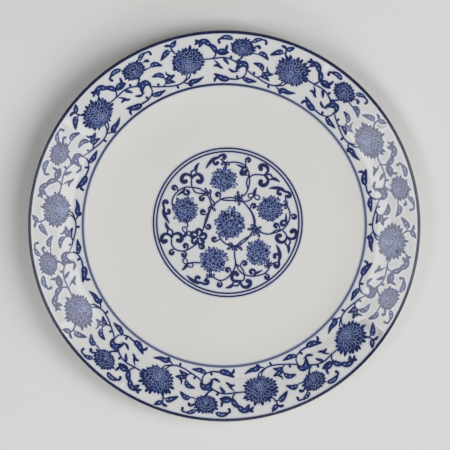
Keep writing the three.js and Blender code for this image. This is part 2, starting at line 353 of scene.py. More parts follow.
def turned(name, loop, material, centre=(0, 0)):
    """Turns an outline about the plate's axis, or about an upright axis at centre. It starts and ends on the
    axis, or closes on itself."""
    area = sum(a.x * b.y - a.y * b.x for a, b in zip(loop, loop[1:] + loop[:1]))
    outline = loop if area > 0 else loop[::-1]
    verts, rings = [], []
    for point in outline:
        if point.x < ON_AXIS:
            rings.append([len(verts)])
            verts.append((centre[0], centre[1], point.y))
        else:
            rings.append(list(range(len(verts), len(verts) + TURN_STEPS)))
            for k in range(TURN_STEPS):
                angle = 2 * math.pi * k / TURN_STEPS
                x, y = centre[0] + point.x * math.cos(angle), centre[1] + point.x * math.sin(angle)
                verts.append((x, y, point.y))
    faces = []
    for a, b in zip(rings, rings[1:] + rings[:1]):
        if len(a) == 1 and len(b) == 1:
            continue
        for k in range(TURN_STEPS):
            n = (k + 1) % TURN_STEPS
            if len(a) == 1:
                faces.append((a[0], b[n], b[k]))
            elif len(b) == 1:
                faces.append((a[k], a[n], b[0]))
            else:
                faces.append((a[k], a[n], b[n], b[k]))
    piece = add_mesh(name, verts, faces, [material])
    piece.data.set_sharp_from_angle(angle=SHARP_ANGLE)
    return piece


def coat(name, start, end, material):
    """The slice of the glaze between two marks."""
    first, last = MARKS[start][1], MARKS[end][0]
    return turned(name, SKIN[first : last + 1] + CORE[first : last + 1][::-1], material)


def painted_line(name, points, material, centre=(0, 0)):
    """A ring of paint that follows points on the face, a little over the glaze and a little into it."""
    over = inset_outline(points, -PAINT_LIFT)
    return turned(name, over + inset_outline(over, PAINT_DEPTH)[::-1], material, centre)


def put(piece, slot, node):
    """Hangs a piece under the root body in place of the CAD node that it draws, and hides that node."""
    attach(piece, "root")
    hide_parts(node)


def make_plate():
    bare_first, bare_last = MARKS["bare_outer"][0], MARKS["bare_inner"][0]
    body = CORE[: bare_first + 1] + SKIN[bare_first : bare_last + 1] + CORE[bare_last:]
    put(turned("body", body, BISCUIT), "bare_porcelain", "porcelain_body")
    put(coat("face", "face_middle", "lip_band_face", WHITE), "clear_glaze", "face_glaze")
    put(coat("lip_line", "lip_band_face", "lip_band_back", NAVY), "cobalt_line", "lip_band")
    put(coat("back", "lip_band_back", "bare_outer", WHITE), "clear_glaze", "back_glaze")
    put(coat("foot_recess", "bare_inner", "recess_middle", WHITE), "clear_glaze", "foot_recess_glaze")
    verge = SKIN[MARKS["verge"][0] : MARKS["verge"][1] + 1]
    put(painted_line("verge_ring", verge, VERGE), "cobalt_line", "verge_line")


# ---------------------------------------- printing
# The layers of a print, from the glaze upwards. A flower's rows of petals are stacked on its marks.
GROUND_LAYER, HAZE_LAYER, BLEED_LAYER, VINE_LAYER, MARK_LAYER, BLADE_LAYER, SPOT_LAYER = range(7)
LOWEST_LIFT = 0.015
LEVEL_STEP = 0.0008
# The layers from the haze up to the marks have more levels than the others, because their shapes often cross.
DEEP_LEVELS = 31
THIN_LEVELS = 11
BLEED_WIDTH = 0.36
HAZE_WIDTH = 0.95

# A leaf is drawn a little fuller than its width says. Its blade passes through three steps of its spine, and
# its spots all point the way that one step does.
LEAF_FULLNESS = 1.1
LEAF_STEPS = 20
BLADE_STEPS = (3, 9, 15)
BLADE_SHARE = 0.42
WIDEST_WITHOUT_BLADE = 2
SPOT_HEADING_STEP = 8
FIRST_SPOT = 0.26
LONE_SPOT = 0.4
SPOTS_LENGTH = 0.36
SPOT_RADIUS = 0.38
SPOT_STRETCH = 1.4

# The two discs under a flower's petals: how far each reaches towards the edge, its ink and its layer.
FLOWER_DISCS = ((1.02, HAZE_INK, HAZE_LAYER), (0.84, DARK_INK, MARK_LAYER))
DISC_RINGS = 4
DISC_SIDES = 36
# How full a petal is at shares of its length.
PETAL_SHAPE = [(0.3, 0.72), (0.62, 1.0), (0.85, 0.62)]
# A petal's fill stops this many of its outline's widths short of the tip.
TIP_INSET = 1.7
PETAL_FULLEST = 0.65
# How far a petal's tip strays from the end of its row, and how its width varies.
TIP_STRAY = (-0.12, 0.08)
WIDTH_STRAY = (0.92, 1.08)
# An open petal's outline, the share of a lacy flower's inner petals that are open, and the share of the open
# petals that are pale.
LACE_LINE = 0.42
STRAY_LACE = 0.08
PALE_LACE = 0.4
# A flower's heart: each oval's size and ink, from the lowest up.
HEART_OVALS = ((1, PALE_INK), (0.72, DARK_INK), (0.3, PALE_INK))
HEART_STRETCH = 1.45


class FlowerStyle:
    """Each row of petals is their number, and the shares of the way to the edge where they start and end. The
    outermost row comes first. line is the width of a petal's outline, heart the radius of the flower's heart,
    and ragged how unevenly the petals lie. A lacy flower has open petals round its edge."""

    def __init__(self, rows, line, heart, ragged, lacy=False):
        self.rows = rows
        self.line = line
        self.heart = heart
        self.ragged = ragged
        self.lacy = lacy


def smooth_curve(points, steps):
    """Points and headings along a smooth curve through the given points."""
    before = [2 * a - b for a, b in zip(points[0], points[1])]
    after = [2 * a - b for a, b in zip(points[-1], points[-2])]
    knots = [Vector(point) for point in [before, *points, after]]
    spans = len(points) - 1
    places, headings = [], []
    for k in range(steps + 1):
        t = k / steps * spans
        i = min(int(t), spans - 1)
        t -= i
        a, b, c, d = knots[i : i + 4]
        places.append(
            0.5 * (2 * b + (c - a) * t + (2 * a - 5 * b + 4 * c - d) * t**2 + (3 * b - a - 3 * c + d) * t**3)
        )
        slope = 0.5 * (c - a + 2 * (2 * a - 5 * b + 4 * c - d) * t + 3 * (3 * b - a - 3 * c + d) * t**2)
        headings.append(slope.normalized())
    return places, headings


def levels_in(layer):
    return DEEP_LEVELS if HAZE_LAYER <= layer <= MARK_LAYER else THIN_LEVELS


class Print:
    """Flat shapes in millimetres, each with its ink and its lift over the glaze. A later layer lies higher,
    so the colour that has bled out of the lines lies under them all. Within a layer each shape has a level
    of its own, until the levels start again."""

    def __init__(self):
        self.points = []
        self.lifts = []
        self.faces = []
        self.inks = []
        self.shapes = 0

    def add(self, points, faces, ink, layer):
        """Adds one shape, at the next level of its layer."""
        first = len(self.points)
        self.points.extend(points)
        levels_below = sum(levels_in(lower) for lower in range(layer))
        lift = LOWEST_LIFT + LEVEL_STEP * (levels_below + self.shapes % levels_in(layer))
        self.shapes += 1
        self.lifts.extend([lift] * len(points))
        self.faces.extend(tuple(first + i for i in face) for face in faces)
        self.inks.extend([ink] * len(faces))

    def ribbon(self, points, width, ink, layer, steps):
        """A band along a smooth curve. Each of its short lengths is a shape, so that where it curls back over
        itself it doesn't lie in one plane with itself."""
        places, headings = smooth_curve(points, steps)
        rows = []
        for k, (place, heading) in enumerate(zip(places, headings)):
            side = Vector((-heading.y, heading.x)) * (width(k / steps) / 2)
            rows.append([place - side, place, place + side])
        for start, end in zip(rows, rows[1:]):
            self.add([*start, *end], [(0, 3, 4, 1), (1, 4, 5, 2)], ink, layer)

    def stroke(self, points, width, ink, layer=VINE_LAYER, steps=12):
        """A stroke along a smooth curve. width gives the full width at each share of the length."""
        self.ribbon(points, width, ink, layer, steps)
        self.bleed(points, width, steps)

    def bleed(self, points, width, steps):
        """The colour that has bled out on both sides of a stroke."""
        self.ribbon(points, lambda t: width(t) + 2 * BLEED_WIDTH, BLEED_INK, BLEED_LAYER, steps)
        self.ribbon(points, lambda t: width(t) + 2 * HAZE_WIDTH, HAZE_INK, HAZE_LAYER, steps)

    def dot(self, centre, radius, ink, layer=BLADE_LAYER, stretch=1.0, heading=0.0, sides=12):
        """A disc, or an oval that is stretched along its heading."""
        turn = Matrix.Rotation(heading, 2)
        rim = []
        for k in range(sides):
            angle = 2 * math.pi * k / sides
            spoke = Vector((radius * stretch * math.cos(angle), radius * math.sin(angle)))
            rim.append(Vector(centre) + turn @ spoke)
        self.add(rim, [tuple(range(sides))], ink, layer)


def even(start, end=None):
    """A width that runs evenly from start to end."""
    last = start if end is None else end
    return lambda t: start + (last - start) * t


def swelling(start, fullest, end):
    """A width that swells from start to its fullest near the end, and then draws in a little."""

    def width(t):
        swell = math.sin(math.pi * min(t * 0.7, 0.5)) ** 2
        return start + (fullest - start) * swell + (end - fullest) * t**6

    return width


def mark(sheet, points, width, steps):
    """A dark stroke that lies over the vines."""
    sheet.stroke(points, width, NAVY_INK, MARK_LAYER, steps)


def leaf_width(width, fullest=0.42):
    """Pointed at both ends and widest at a share of the length."""
    power = math.log(0.5) / math.log(fullest)
    return lambda t: width * max(math.sin(math.pi * t**power), 0.02) ** 0.62


def leaf(sheet, spine, width, spots=0, fullest=0.42):
    """A dark leaf with a lighter blade and pale spots down its middle."""
    full = width * LEAF_FULLNESS
    sheet.stroke(spine, leaf_width(full, fullest), DARK_INK, MARK_LAYER)
    places, headings = smooth_curve(spine, LEAF_STEPS)
    if width > WIDEST_WITHOUT_BLADE:
        blade = [tuple(places[k]) for k in BLADE_STEPS]
        sheet.ribbon(blade, leaf_width(full * BLADE_SHARE, fullest), BLUE_INK, BLADE_LAYER, 8)
    along = headings[SPOT_HEADING_STEP]
    for k in range(spots):
        share = FIRST_SPOT + SPOTS_LENGTH * (k / (spots - 1) if spots > 1 else LONE_SPOT)
        place = places[round(LEAF_STEPS * share)]
        sheet.dot(place, SPOT_RADIUS, PALE_INK, SPOT_LAYER, SPOT_STRETCH, math.atan2(along.y, along.x), 8)


def petal(sheet, base, tip, width, outline, fill, layer, line):
    """A pointed petal: its outline, and over that its fill, a line's width smaller all round."""
    along = (tip - base).normalized()
    side = Vector((-along.y, along.x))
    for shrink, ink in ((0, outline), (line, fill)):
        low, high = base + along * shrink, tip - along * (TIP_INSET * shrink)
        half = side * (width / 2 - shrink)
        left, right = [], []
        for share, fullness in PETAL_SHAPE:
            left.append(low + (high - low) * share - half * fullness)
            right.insert(0, low + (high - low) * share + half * fullness)
        sheet.add([low, *left, high, *right], [tuple(range(2 + 2 * len(PETAL_SHAPE)))], ink, layer)
        layer += 1


def flower_disc(sheet, home, edge, share, ink, layer):
    """A disc round a flower's heart that reaches a share of the way to the flower's edge."""
    rings = [[home]]
    for ring in range(1, DISC_RINGS + 1):
        reach = share * ring / DISC_RINGS
        rings.append([home + edge(2 * math.pi * k / DISC_SIDES) * reach for k in range(DISC_SIDES)])
    faces = [(0, 1 + k, 1 + (k + 1) % DISC_SIDES) for k in range(DISC_SIDES)]
    for a in range(1, (DISC_RINGS - 1) * DISC_SIDES, DISC_SIDES):
        for k in range(DISC_SIDES):
            n = (k + 1) % DISC_SIDES
            faces.append((a + k, a + DISC_SIDES + k, a + DISC_SIDES + n, a + n))
    sheet.add([point for ring in rings for point in ring], faces, ink, layer)


def petal_inks(style, row, angle, rng):
    """A petal's outline, its fill and its outline's width. More of the inner petals are pale, and more of
    those towards the flower's top are dark."""
    if style.lacy and (row == 0 or rng.random() < STRAY_LACE):
        return DARK_INK, PALE_INK if rng.random() < PALE_LACE else MID_INK, LACE_LINE
    if row == 0:
        return BLUE_INK, DARK_INK, style.line
    outline = PALE_INK if rng.random() < 0.7 + 0.1 * row else MID_INK
    fill = DARK_INK if rng.random() < 0.92 - 0.17 * row + 0.2 * math.sin(angle) else BLUE_INK
    return outline, fill, style.line


def flower(sheet, centre, half_width, half_height, style, heart, seed):
    """A flower head of overlapping rows of petals. heart is the way from its centre to its heart."""
    rng = random.Random(seed)
    centre, heart = Vector(centre), Vector(heart)
    home = centre + heart

    def edge(angle):
        """The edge of the flower in a direction from its heart."""
        direction = Vector((math.cos(angle), math.sin(angle)))
        a = (direction.x / half_width) ** 2 + (direction.y / half_height) ** 2
        b = heart.x * direction.x / half_width**2 + heart.y * direction.y / half_height**2
        c = (heart.x / half_width) ** 2 + (heart.y / half_height) ** 2 - 1
        return direction * ((math.sqrt(b * b - a * c) - b) / a)

    for share, ink, layer in FLOWER_DISCS:
        flower_disc(sheet, home, edge, share, ink, layer)
    layer = MARK_LAYER + 1
    for row, (petals, start, end) in enumerate(style.rows):
        for k in range(petals):
            angle = 2 * math.pi * (k + 0.5 * (row % 2)) / petals + rng.uniform(-1, 1) * style.ragged / petals
            reach = edge(angle)
            tip = end * (1 + rng.uniform(*TIP_STRAY) * style.ragged)
            fullest = start * (1 - PETAL_FULLEST) + end * PETAL_FULLEST
            width = 2 * math.pi * reach.length * fullest / petals * rng.uniform(*WIDTH_STRAY)
            outline, fill, line = petal_inks(style, row, angle, rng)
            petal(sheet, home + reach * start, home + reach * tip, width, outline, fill, layer, line)
        layer += 2
    for size, ink in HEART_OVALS:
        sheet.dot(home, style.heart * size, ink, layer, HEART_STRETCH, math.pi / 2)
        layer += 1


# ---------------------------------------- the border
# A repeat is drawn in shares: u clockwise round it, and v across the band, from the verge line outwards.
REPEATS = 10
# The first large flower's heading, in degrees clockwise from +Y.
BORDER_START = 23.6
BAND_INNER = VERGE_RADIUS + VERGE_LINE / 2
BAND_OUTER = PLATE_RADIUS - LIP_BAND
BAND_WIDTH = BAND_OUTER - BAND_INNER
BAND_MIDDLE = (BAND_INNER + BAND_OUTER) / 2
REPEAT_LENGTH = 2 * math.pi * BAND_MIDDLE / REPEATS
EDGE_STEPS = 24


def flat(u, v):
    """A place, or a size, from shares."""
    return u * REPEAT_LENGTH, v * BAND_WIDTH


def flats(*shares):
    return [flat(u, v) for u, v in shares]


# Each stem of a repeat: its places, and its width at its start and at its end.
BORDER_STEMS = [
    ([(0.14, 0.5), (0.235, 0.5), (0.33, 0.515), (0.4, 0.49), (0.47, 0.42)], 0.95, 1.15),
    ([(0.56, 0.31), (0.63, 0.23), (0.7, 0.175), (0.78, 0.125), (0.86, 0.11), (0.92, 0.14)], 1.0, 1.0),
    ([(0.905, 0.13), (0.945, 0.19), (0.965, 0.28)], 1.0, 1.0),
    ([(0.92, 0.135), (0.975, 0.19), (1.0, 0.27)], 1.0, 1.0),
    ([(0.235, 0.5), (0.262, 0.56), (0.266, 0.64)], 0.95, 1.2),
    ([(0.45, 0.44), (0.495, 0.5), (0.52, 0.57)], 0.7, 1.6),
    ([(0.57, 0.32), (0.565, 0.2), (0.53, 0.12)], 1.0, 1.0),
    ([(0.53, 0.125), (0.47, 0.085), (0.38, 0.09)], 0.95, 1.3),
    ([(0.685, 0.18), (0.725, 0.22), (0.737, 0.29), (0.73, 0.35)], 1.0, 1.0),
    ([(-0.095, 0.72), (-0.115, 0.82), (-0.115, 0.9)], 1.0, 1.0),
    ([(-0.1, 0.78), (-0.13, 0.8), (-0.16, 0.79)], 0.8, 0.8),
    ([(0.6, 0.66), (0.63, 0.645), (0.665, 0.65)], 0.8, 0.8),
    ([(0.905, 0.12), (0.935, 0.09), (0.965, 0.06)], 0.7, 1.4),
]


def border_stems(sheet):
    for places, start, end in BORDER_STEMS:
        sheet.stroke(flats(*places), even(start, end), NAVY_INK)


def border_leaves(sheet):
    """Each leaf is its spine and its width, and where they are needed its spots and where it is fullest."""
    # The leaf chain above the node.
    leaf(sheet, flats((0.27, 0.61), (0.25, 0.72), (0.2, 0.81)), 3.3, 1)
    leaf(sheet, flats((0.225, 0.75), (0.18, 0.86), (0.11, 0.87)), 3.5, 2)
    leaf(sheet, flats((0.16, 0.85), (0.14, 0.81), (0.12, 0.75)), 2.4)
    leaf(sheet, flats((0.14, 0.87), (0.11, 0.85), (0.085, 0.81)), 1.8)
    leaf(sheet, flats((0.13, 0.86), (0.11, 0.89), (0.1, 0.925)), 1.8)
    # The leaf and bud to its right, and the leaves below it.
    leaf(sheet, flats((0.27, 0.61), (0.33, 0.65), (0.39, 0.61)), 3.2, 1)
    leaf(sheet, flats((0.28, 0.6), (0.33, 0.59), (0.38, 0.6)), 2.0)
    leaf(sheet, flats((0.36, 0.66), (0.365, 0.71), (0.372, 0.78)), 1.7)
    leaf(sheet, flats((0.24, 0.49), (0.28, 0.4), (0.3, 0.33), (0.335, 0.295)), 1.7, 0, 0.6)
    leaf(sheet, flats((0.305, 0.335), (0.27, 0.36), (0.235, 0.345)), 1.7)
    leaf(sheet, flats((0.335, 0.5), (0.36, 0.45), (0.39, 0.37)), 2.1)
    leaf(sheet, flats((0.4, 0.49), (0.407, 0.52), (0.412, 0.56)), 1.7, 0, 0.6)
    # The curled leaf where the vine turns.
    leaf(sheet, flats((0.585, 0.31), (0.545, 0.41), (0.495, 0.37), (0.46, 0.24)), 4.0, 2, 0.45)
    leaf(sheet, flats((0.46, 0.4), (0.5, 0.44), (0.545, 0.4)), 2.4)
    sheet.dot(flat(0.566, 0.375), 1.15, DARK_INK)
    leaf(sheet, flats((0.5, 0.26), (0.45, 0.235), (0.42, 0.25), (0.385, 0.295)), 1.7, 0, 0.6)
    # The long forked leaf near the verge line, and the buds and leaf on its stem.
    leaf(sheet, flats((0.4, 0.075), (0.32, 0.1), (0.235, 0.2)), 4.0, 2, 0.4)
    leaf(sheet, flats((0.29, 0.12), (0.25, 0.1), (0.235, 0.025)), 1.9, 0, 0.6)
    leaf(sheet, flats((0.5, 0.1), (0.485, 0.125), (0.473, 0.17)), 1.7, 0, 0.6)
    leaf(sheet, flats((0.535, 0.13), (0.6, 0.095), (0.7, 0.095)), 3.0, 2)
    leaf(sheet, flats((0.57, 0.1), (0.6, 0.06), (0.65, 0.06)), 1.5)
    # The spray between the vine and the next large flower.
    leaf(sheet, flats((0.735, 0.34), (0.7, 0.43), (0.625, 0.455)), 3.2, 2)
    leaf(sheet, flats((0.735, 0.3), (0.79, 0.3), (0.845, 0.325)), 2.7, 1)
    leaf(sheet, flats((0.8, 0.33), (0.77, 0.38), (0.767, 0.45)), 1.4, 0, 0.3)
    leaf(sheet, flats((0.645, 0.215), (0.65, 0.25), (0.645, 0.29)), 1.7, 0, 0.6)
    leaf(sheet, flats((0.725, 0.22), (0.775, 0.225), (0.825, 0.175)), 2.6, 1)
    leaf(sheet, flats((0.825, 0.12), (0.83, 0.08), (0.838, 0.03)), 1.7, 0, 0.6)
    # The leaf under the next large flower.
    leaf(sheet, flats((0.955, 0.02), (0.99, 0.09), (1.06, 0.1), (1.13, 0.155)), 3.6, 1, 0.25)
    sheet.dot(flat(0.978, 0.04), 1.3, DARK_INK)
    # The forked shoot over the large flower's shoulder.
    leaf(sheet, flats((-0.115, 0.87), (-0.135, 0.92), (-0.17, 0.93)), 1.8, 0, 0.6)
    leaf(sheet, flats((-0.118, 0.87), (-0.09, 0.92), (-0.058, 0.985)), 3.0, 1)
    leaf(sheet, flats((-0.135, 0.8), (-0.17, 0.79), (-0.24, 0.68)), 3.6, 2)
    # The leaves and bud round the small flower.
    leaf(sheet, flats((0.42, 0.89), (0.362, 0.925), (0.3, 0.885)), 3.1, 3)
    mark(sheet, flats((0.325, 0.9), (0.298, 0.875), (0.3, 0.82)), even(1.2, 1.7), 12)
    sheet.dot(flat(0.302, 0.818), 0.95, DARK_INK)
    leaf(sheet, flats((0.592, 0.86), (0.622, 0.925), (0.672, 0.965)), 2.7, 2)
    mark(sheet, flats((0.65, 0.95), (0.695, 0.945), (0.704, 0.885)), even(1.0, 1.6), 12)
    sheet.dot(flat(0.703, 0.882), 0.85, DARK_INK)
    leaf(sheet, flats((0.61, 0.795), (0.645, 0.8), (0.665, 0.75)), 1.9, 0, 0.6)
    leaf(sheet, flats((0.655, 0.65), (0.7, 0.665), (0.76, 0.575)), 3.3, 2)


SMALL_SEED = 50
LARGE_FLOWER = FlowerStyle(
    [(29, 0.58, 1.02), (25, 0.4, 0.82), (19, 0.24, 0.6), (12, 0.1, 0.4), (7, 0.03, 0.24)], 0.18, 1.4, 1.1
)
SMALL_FLOWER = FlowerStyle([(23, 0.52, 1.02), (17, 0.28, 0.74), (9, 0.08, 0.46)], 0.15, 0.8, 1.0)


def border_ground(sheet):
    """The faint tint that the print has left on the glaze all over the band."""
    bends = [radius - BAND_INNER for radius in FACE_RADII if BAND_INNER < radius < BAND_OUTER]
    heights = [0, *bends, BAND_WIDTH]
    points, faces = [], []
    for height in heights:
        points += [(REPEAT_LENGTH * i / EDGE_STEPS, height) for i in range(EDGE_STEPS + 1)]
    across = EDGE_STEPS + 1
    for j in range(len(heights) - 1):
        for i in range(EDGE_STEPS):
            a = across * j + i
            faces.append((a, a + 1, a + across + 1, a + across))
    sheet.add(points, faces, GROUND_INK, GROUND_LAYER)


def border_edges(sheet):
    """The colour that has bled from the verge line and from the lip band."""

    def along(y):
        return [(0, y), (REPEAT_LENGTH / 2, y), (REPEAT_LENGTH, y)]

    sheet.bleed(along(-VERGE_LINE / 2), even(VERGE_LINE), EDGE_STEPS)
    sheet.ribbon(along(BAND_WIDTH - BLEED_WIDTH / 2), even(BLEED_WIDTH), BLEED_INK, BLEED_LAYER, EDGE_STEPS)
    sheet.ribbon(along(BAND_WIDTH - HAZE_WIDTH / 2), even(HAZE_WIDTH), HAZE_INK, HAZE_LAYER, EDGE_STEPS)


def border_repeat(seed):
    sheet = Print()
    border_ground(sheet)
    border_edges(sheet)
    border_stems(sheet)
    border_leaves(sheet)
    # Each flower's centre, half its size, its style and the way to its heart.
    flower(sheet, flat(0, 0.525), *flat(0.174, 0.29), LARGE_FLOWER, flat(0, -0.07), seed)
    flower(sheet, flat(0.508, 0.74), *flat(0.116, 0.195), SMALL_FLOWER, flat(0, -0.03), SMALL_SEED + seed)
    return sheet


def on_rim(start_degrees):
    """Lays a flat point on the rim. Its x runs clockwise from the start, and its y outwards."""

    def lay(point, lift):
        angle = math.radians(90 - start_degrees) - point[0] / BAND_MIDDLE
        radius = BAND_INNER + point[1]
        height, slope = face_at(radius)
        tilt = math.atan(slope)
        radius -= lift * math.sin(tilt)
        return radius * math.cos(angle), radius * math.sin(angle), height + lift * math.cos(tilt)

    return lay


def print_piece(name, sheet, lay):
    verts = [lay(point, lift) for point, lift in zip(sheet.points, sheet.lifts)]
    return add_mesh(name, verts, sheet.faces, PRINT_COLOURS, sheet.inks)


def make_border():
    for k in range(REPEATS):
        lay = on_rim(BORDER_START + 360 / REPEATS * k)
        piece = print_piece(f"border_{k + 1:02d}", border_repeat(k), lay)
        put(piece, "cobalt_print", f"border_print_{k + 1:02d}")


# ---------------------------------------- the medallion
# Its places are in millimetres from its own centre, and its headings in degrees from +X.
MEDALLION_LINE = 1.1
MEDALLION_WASH = 1.1
MEDALLION_VINE = 1.0
CIRCLE_POINTS = 60
STEPS_PER_PLACE = 6
# Each flower's centre, half its width and half its height.
MEDALLION_FLOWERS = [
    ((1.5, -0.8), 10.6, 11.0),
    ((-2.8, 29.3), 9.4, 8.4),
    ((29.1, 9.2), 8.7, 9.4),
    ((20.9, -20.5), 8.7, 9.1),
    ((-10.0, -25.6), 9.9, 9.0),
    ((-29.0, 8.2), 8.7, 9.8),
]
MEDALLION_FLOWER = FlowerStyle(
    [(24, 0.58, 1.03), (20, 0.4, 0.84), (15, 0.23, 0.63), (9, 0.08, 0.42)], 0.19, 0.9, 1.5, True
)
MEDALLION_HEART = (0, -0.5)
MEDALLION_SEED = 100
MEDALLION_VINES = [
    # The ring round the middle flower, which runs in at its end.
    [(-19, -10), (-16.6, -4), (-15, 2.6), (-11.8, 9.4), (-5.4, 15.4), (1, 16.9), (7, 16), (12.5, 12),
     (16.6, 5.6), (17.9, -1), (15.8, -8), (11, -13.4), (4.5, -16), (-1.4, -14.6), (-5.3, -10.6), (-6.4, -7)],
    # The places where the ring's stem splits in two.
    [(-5.2, 15.7), (-0.5, 15.1), (5, 15), (8, 14.6)],
    [(-11.6, 9.8), (-13, 5.4), (-14.2, 1.6), (-16.4, -3.6)],
    [(15.6, 8.4), (17.6, 4.6), (18.6, 0.6), (18.2, -3.4)],
    [(16.8, -8.4), (12.4, -10.8), (8.8, -13.2), (6.6, -15.6)],
    # Over the top flower.
    [(8.7, 17.5), (11.6, 19), (13.7, 22.5), (14.9, 28.3), (14.3, 34), (12, 38.6), (8, 40.7), (3.5, 41.2),
     (-1, 40.8), (-5, 43.4)],
    [(13.7, 22.5), (12.9, 27.4), (14.4, 32)],
    # Round the right-hand flower.
    [(17.9, 0.6), (19.7, -4), (23, -6.9), (27.4, -8), (32, -7), (37, -5), (40.7, -1), (42.4, 4), (41.9, 8.4),
     (40.2, 12), (39.5, 16), (39.6, 19)],
    [(36.8, -5.2), (33, -5.4), (29.4, -7.9)],
    [(7, 14.6), (12.6, 14.4), (16.2, 16.4), (18, 19.5)],
    # Round the left-hand flower.
    [(-10.8, 10.6), (-12.6, 16.6), (-15, 20), (-19, 22.9), (-24.3, 24), (-29, 24), (-33.3, 21.8),
     (-36.6, 18.2), (-38, 13.8), (-37, 9.6)],
    [(-24.3, 24), (-21.8, 20.5), (-15.6, 19.6)],
    [(-12.3, 20.6), (-11.2, 16), (-8.6, 12.7)],
    # From the rosette to the left-hand knot.
    [(-20.4, -14), (-24, -16.6), (-28.3, -19.1), (-32.6, -19.5), (-36.2, -18), (-38.3, -14.8), (-38.4, -9.6)],
    [(-18.2, -27.6), (-24, -27.5), (-27.6, -28.4)],
    # From the ring down round the lower left-hand flower.
    [(-11.8, -33.8), (-10.3, -37), (-6, -39.6), (-1.7, -38.8), (1.9, -35.6), (4.7, -31.3), (5.3, -27),
     (4.6, -22.5), (5.1, -18.4), (7.2, -15)],
    [(-10.6, -36.4), (-14.4, -38), (-16.4, -40.6)],
    # Round the lower right-hand flower.
    [(5.4, -27.6), (7.6, -32.7), (11.2, -35.6), (15.5, -36.7), (19.8, -36.5), (24.8, -35), (27.8, -32),
     (28.6, -29), (27.2, -25.6)],
    [(5.8, -28.6), (9.6, -31.2), (11.4, -35.6)],
    [(28.4, -29.9), (31.7, -27.7), (34.9, -27.1)],
    # The knots' stems.
    [(14.8, 31), (18.6, 32.7), (25.6, 32.2)],
    [(-24.4, 24), (-24.8, 27.9), (-24.3, 31.2)],
    [(37.2, -5.2), (39.6, -8), (40.6, -11.2)],
    [(11.3, -35.6), (11.1, -38.8), (9, -40.6)],
    [(-27.4, -3.4), (-27.4, -1.6), (-27.6, 0.4)],
]
# Where each scroll knot is tied, which way its stem runs, and which way its leaf points.
MEDALLION_KNOTS = [
    ((-24.5, 31.0), 90, 63),
    ((25.5, 32.3), 0, -25),
    ((40.6, -10.4), -71, -86),
    ((8.4, -40.3), 238, 205),
    ((-38.3, -9.6), 93, 112),
]
# Each long leaf's joint, which way it points, and the side that its lobe is on.
MEDALLION_SPRAYS = [
    ((-5.6, 44.0), 217, 1),
    ((39.2, 20.2), 164, 1),
    ((34.0, -26.7), 94, 1),
    ((-17.4, -40.6), 158, -1),
    ((-42.7, 10.8), -76, 1),
]
# Each hooked leaf inside a vine: its joint, which way its leaf points, and the side that its hook is on.
MEDALLION_HOOKS = [
    ((11.2, 37.6), 165, 1),
    ((39.9, 0.4), 97, 1),
    ((18.6, -35.3), 33, 1),
    ((-30.1, 21.7), 222, 1),
]
# Each trefoil of two loops and a leaf, and which way the leaf points. The loops lie the spread from it.
TREFOIL_SPREAD = 112
MEDALLION_TREFOILS = [((18.1, 18.6), 73), ((-27.9, -28.5), 231), ((-28.2, -7.0), 228)]
# Each bud's foot on its vine, its head, and the side that it curls to.
MEDALLION_BUDS = [
    ((12.2, 38.0), (13.8, 42.4), -1), ((14.6, 32.4), (10.2, 33.9), -1), ((-5.4, 15.4), (-6.6, 18.9), 1),
    ((-15.4, 19.2), (-17.6, 16.6), 1), ((-14.4, 5.6), (-16.8, 7.0), -1), ((-16.0, -1.4), (-13.4, -2.9), 1),
    ((-5.2, -11.4), (-9.0, -11.6), -1), ((15.2, 8.8), (17.4, 11.2), -1), ((36.0, -5.4), (33.2, -2.3), 1),
    ((42.3, 4.2), (45.0, 3.9), -1), ((-34.2, 21.6), (-36.2, 23.6), 1), ((-36.2, -18.0), (-38.2, -20.4), 1),
    ((-31.0, -19.5), (-29.9, -21.9), -1), ((-28.2, -18.9), (-28.7, -16.2), 1),
    ((-20.0, -14.6), (-17.8, -16.4), 1), ((2.4, -35.2), (0.2, -32.6), 1),
    ((-5.6, -39.5), (-5.6, -42.4), -1), ((24.6, -34.8), (26.6, -37.2), -1),
    ((8.4, -29.6), (11.2, -28.0), -1),
]
ROSETTE_CENTRE = (-20.1, -10.0)
ROSETTE_PETALS = 5
ROSETTE_TURN = 20
# Each sprig of three leaves, and which way it points.
MEDALLION_SPRIGS = [
    ((7.6, 17.2), 100), ((7.4, 15.8), -85), ((-13.4, 19.8), 120), ((-11.6, 10.6), -40), ((17.6, -4.0), 190),
    ((19.2, -5.2), 30), ((19.6, -6.4), -60), ((3.0, -16.0), 215), ((6.6, -16.2), -40), ((-1.6, 40.6), -90),
    ((40.0, 12.2), 185), ((28.0, -29.6), 115), ((-11.8, -36.8), 90),
]


def framed(joint, degrees, side=1):
    """Places on the flat from a joint: so far ahead along a heading, and so far to one side of it."""
    origin = Vector(joint)
    ahead = Vector((math.cos(math.radians(degrees)), math.sin(math.radians(degrees))))
    aside = Vector((-ahead.y, ahead.x)) * side
    return lambda *places: [tuple(origin + ahead * forward + aside * over) for forward, over in places]


def curled_stroke(sheet, points, start, fullest, end):
    """A stroke that swells along a curl and ends in a round head."""
    mark(sheet, points, swelling(start, fullest, end), STEPS_PER_PLACE * len(points))
    sheet.dot(points[-1], end / 2 + 0.3, NAVY_INK)


def scroll_knot(sheet, joint, stem, tip):
    """Two scrolls that roll back from a stem, with an open diamond and a pointed leaf beyond them."""
    for side in (-1, 1):
        roll = framed(joint, stem, side)
        points = roll((0.2, 0.3), (1.6, 2.2), (1.9, 4.4), (0.5, 6.4), (-1.9, 6.9), (-3.5, 5.6), (-2.9, 4.2))
        curled_stroke(sheet, points, 1.5, 2.8, 2.5)
        place = framed(joint, tip, side)
        mark(sheet, place((0, 0), (2.8, 1.9), (5.8, 0.2)), even(1.2), 8)
    place = framed(joint, tip)
    mark(sheet, place((5.0, 0), (8.0, 0.5), (11.2, -0.1)), leaf_width(2.3, 0.28), 8)
    sheet.dot(joint, 1.2, NAVY_INK)


